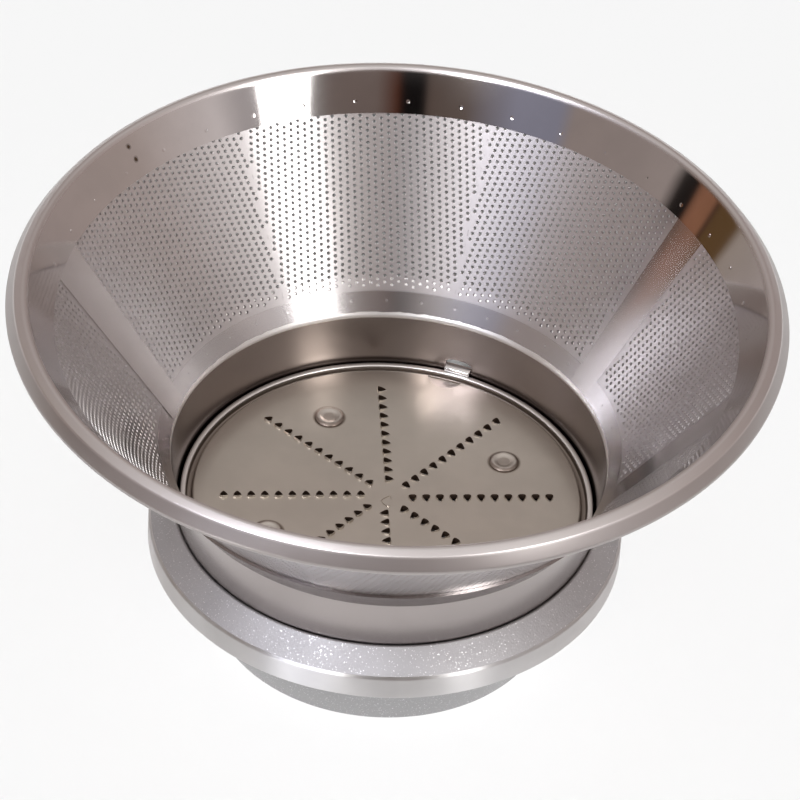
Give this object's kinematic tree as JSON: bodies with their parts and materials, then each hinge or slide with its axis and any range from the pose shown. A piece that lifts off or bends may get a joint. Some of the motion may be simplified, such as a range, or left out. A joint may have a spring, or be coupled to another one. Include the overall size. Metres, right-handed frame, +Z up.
{
  "type": "juicer filter basket",
  "caption": "Conical perforated filter basket of a centrifugal juicer, with a rolled rim, a collar, a grating disc with rows of teeth and a cast drive hub.",
  "frame": {"origin": "centre of the hub's foot, on the surface that the basket stands on", "axes": "+Z up along the basket's axis towards the open rim, +X to the right and +Y away from the picture's viewer"},
  "size_m": [0.1488, 0.1488, 0.0783],
  "materials": {
    "polished_steel": "mirror polished stainless steel",
    "screen_steel": "bright perforated stainless sheet",
    "collar_steel": "satin drawn stainless steel",
    "disc_steel": "satin stainless steel",
    "rivet_steel": "plain stainless steel",
    "cast_aluminium": "sand cast with a machined edge"
  },
  "bodies": {
    "root": {"rim_ring": "polished_steel", "mesh_screen": "screen_steel", "collar": "collar_steel", "grating_disc": "disc_steel", "rivets": "rivet_steel", "drive_hub": "cast_aluminium"}
  },
  "joints": []
}
